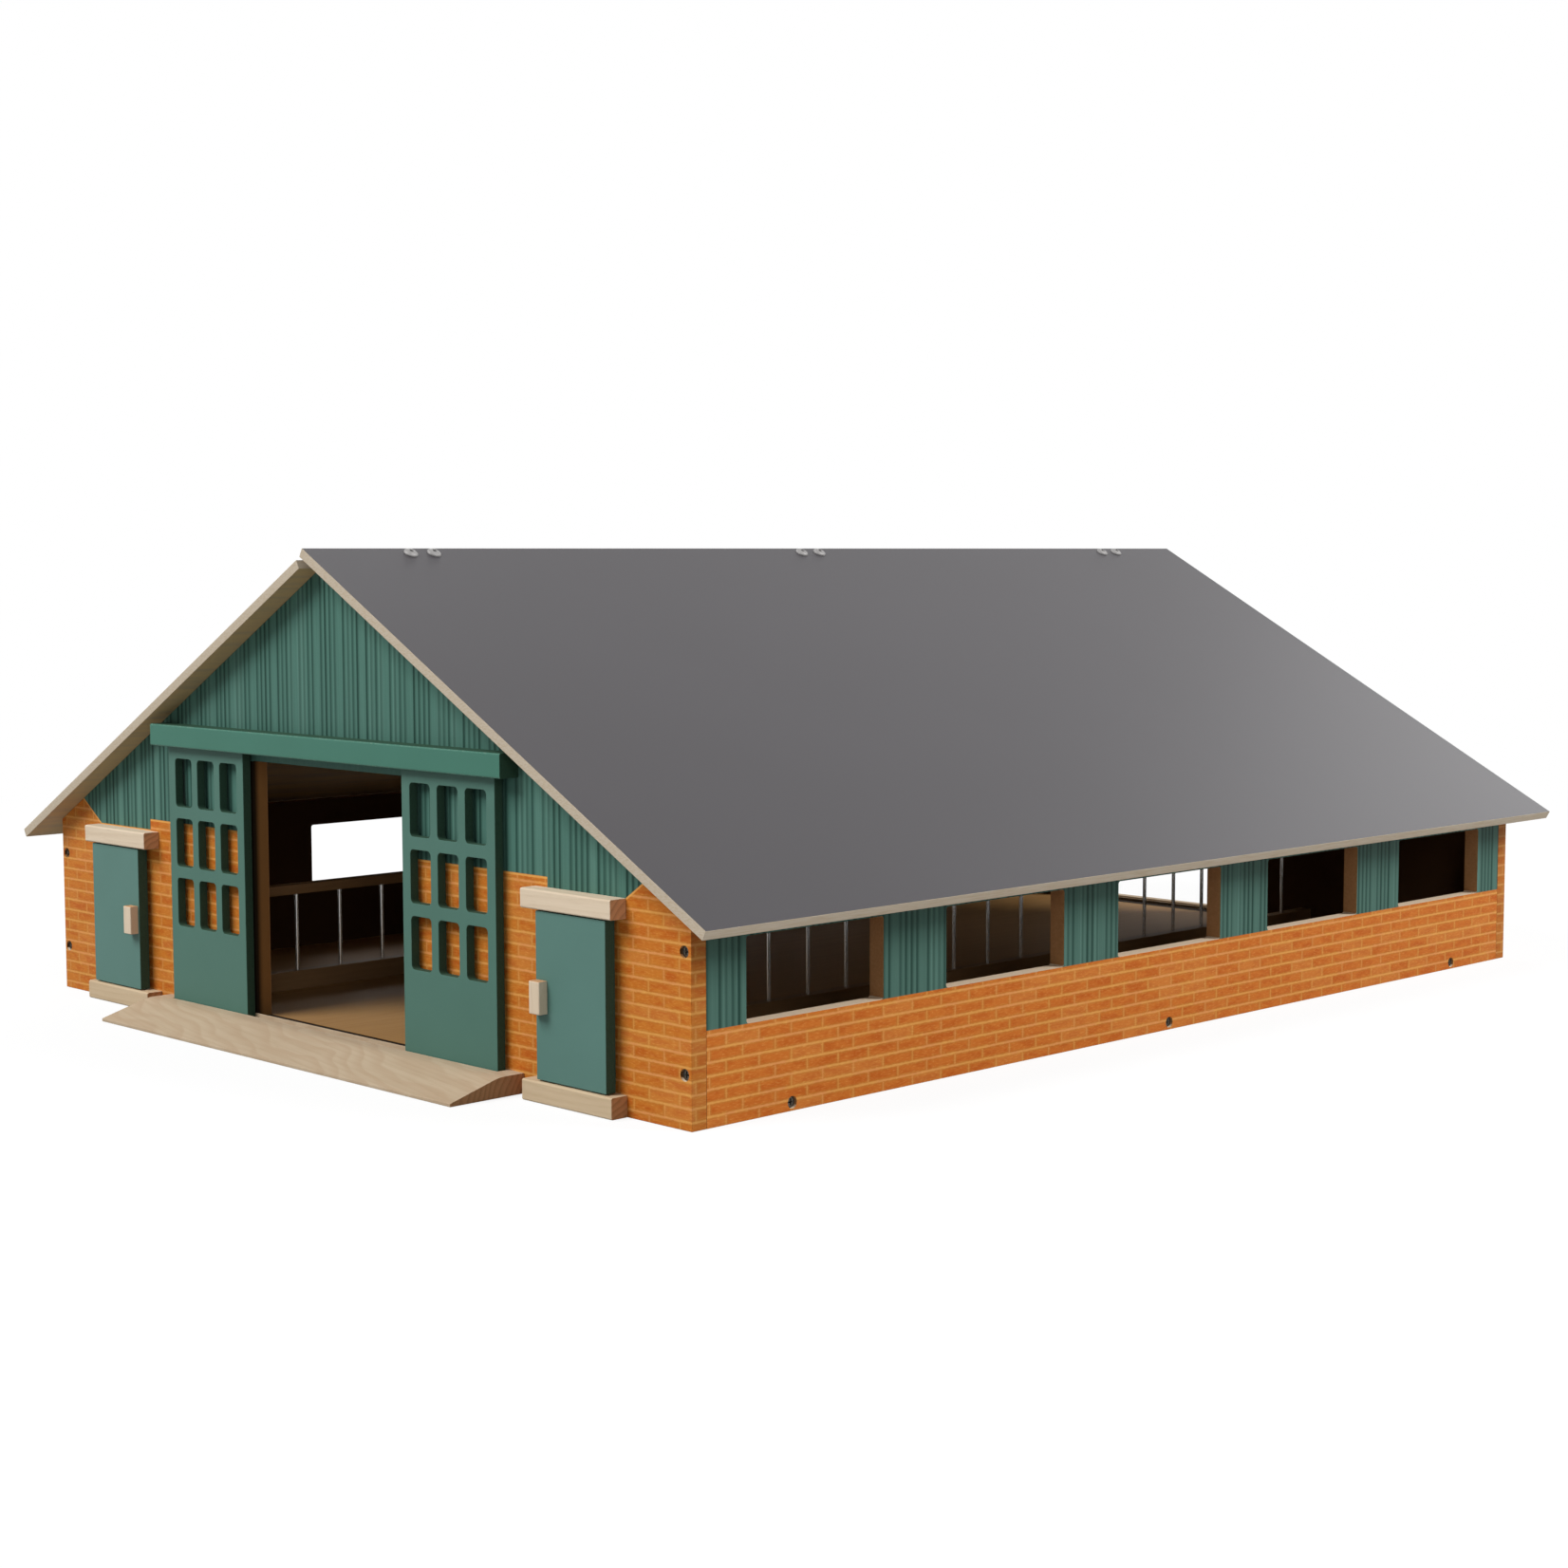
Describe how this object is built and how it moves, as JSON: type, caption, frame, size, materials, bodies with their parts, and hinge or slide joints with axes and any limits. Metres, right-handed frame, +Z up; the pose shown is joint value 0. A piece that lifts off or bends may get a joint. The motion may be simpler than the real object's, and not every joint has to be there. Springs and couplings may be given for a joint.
{
  "type": "toy barn",
  "caption": "Wooden toy barn with sliding main doors, small swing doors, a lifting roof panel, side windows, ramps and feed fences.",
  "frame": {"origin": "middle of the floor board's underside, midway between the gables and between the side walls", "axes": "+Z up, -Y out through the front doorway, +X to the right when looking along +Y"},
  "size_m": [0.592, 0.783, 0.2577],
  "materials": {
    "printed_board": "satin print of brick and green cladding on board",
    "green_board": "satin green paint on board",
    "roof_board": "satin grey laminate on board",
    "natural_wood": "sanded natural wood",
    "steel": "bright zinc plated"
  },
  "bodies": {
    "barn": {"floor_board": "natural_wood", "front_gable": "printed_board", "back_gable": "printed_board", "left_wall": "printed_board", "right_wall": "printed_board", "left_roof_panel": "roof_board", "fixed_hinge_leaves": "steel", "hinge_pins": "steel", "fixed_rivets": "steel", "front_door_track": "green_board", "back_door_track": "green_board", "front_ramp": "natural_wood", "back_ramp": "natural_wood", "left_lintel": "natural_wood", "right_lintel": "natural_wood", "left_step": "natural_wood", "right_step": "natural_wood", "left_feed_curb": "natural_wood", "right_feed_curb": "natural_wood", "left_feed_rail": "natural_wood", "right_feed_rail": "natural_wood", "left_feed_bars": "steel", "right_feed_bars": "steel", "gable_screws": "steel", "floor_screws": "steel"},
    "roof_flap": {"right_roof_panel": "roof_board", "lifting_hinge_leaves": "steel", "lifting_rivets": "steel"},
    "front_left_slider": {"front_left_sliding_door": "green_board"},
    "front_right_slider": {"front_right_sliding_door": "green_board"},
    "back_left_slider": {"back_left_sliding_door": "green_board"},
    "back_right_slider": {"back_right_sliding_door": "green_board"},
    "left_small_door": {"left_person_door": "green_board", "left_door_handle": "natural_wood", "left_door_pins": "steel"},
    "right_small_door": {"right_person_door": "green_board", "right_door_handle": "natural_wood", "right_door_pins": "steel"}
  },
  "joints": [
    {"name": "roof_lift", "type": "hinge", "parent": "barn", "child": "roof_flap", "pos_m": [-0.00912, 0, 0.25326], "axis": [0, -1, 0], "range_deg": [0, 140]},
    {"name": "front_left_slide", "type": "slide", "parent": "barn", "child": "front_left_slider", "axis": [1, 0, 0], "range_m": [0, 0.0699]},
    {"name": "front_right_slide", "type": "slide", "parent": "barn", "child": "front_right_slider", "axis": [-1, 0, 0], "range_m": [0, 0.0699]},
    {"name": "back_left_slide", "type": "slide", "parent": "barn", "child": "back_left_slider", "axis": [1, 0, 0], "range_m": [0, 0.0699]},
    {"name": "back_right_slide", "type": "slide", "parent": "barn", "child": "back_right_slider", "axis": [-1, 0, 0], "range_m": [0, 0.0699]},
    {"name": "left_small_door_swing", "type": "hinge", "parent": "barn", "child": "left_small_door", "pos_m": [-0.2212, -0.3527, 0.0505], "axis": [0, 0, -1], "range_deg": [0, 170]},
    {"name": "right_small_door_swing", "type": "hinge", "parent": "barn", "child": "right_small_door", "pos_m": [0.2212, -0.3527, 0.0505], "axis": [0, 0, 1], "range_deg": [0, 170]}
  ]
}
